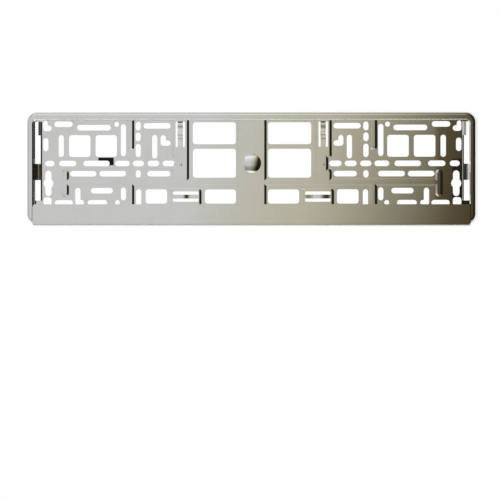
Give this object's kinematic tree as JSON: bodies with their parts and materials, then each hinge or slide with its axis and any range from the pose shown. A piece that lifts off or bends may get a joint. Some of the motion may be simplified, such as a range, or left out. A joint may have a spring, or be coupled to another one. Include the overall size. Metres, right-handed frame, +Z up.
{
  "type": "number plate holder",
  "caption": "Chrome-plated plastic number plate holder: a shallow rimmed frame with a slotted back panel and a clip-on lower strip that holds the plate in.",
  "frame": {"origin": "middle of the back plane that lies on the car, half way along the holder", "axes": "+X along the holder to the right as seen from the front, +Y backwards into the car, +Z up"},
  "size_m": [0.532, 0.013, 0.1332],
  "materials": {
    "plated_frame": "bright chrome plating on moulded plastic",
    "plated_strip": "bright chrome plating on moulded plastic"
  },
  "bodies": {
    "holder": {"frame": "plated_frame"},
    "strip": {"strip": "plated_strip"}
  },
  "joints": [
    {"name": "strip_pull_off", "type": "slide", "parent": "holder", "child": "strip", "axis": [0, -1, 0], "range_m": [0, 0.03]}
  ]
}
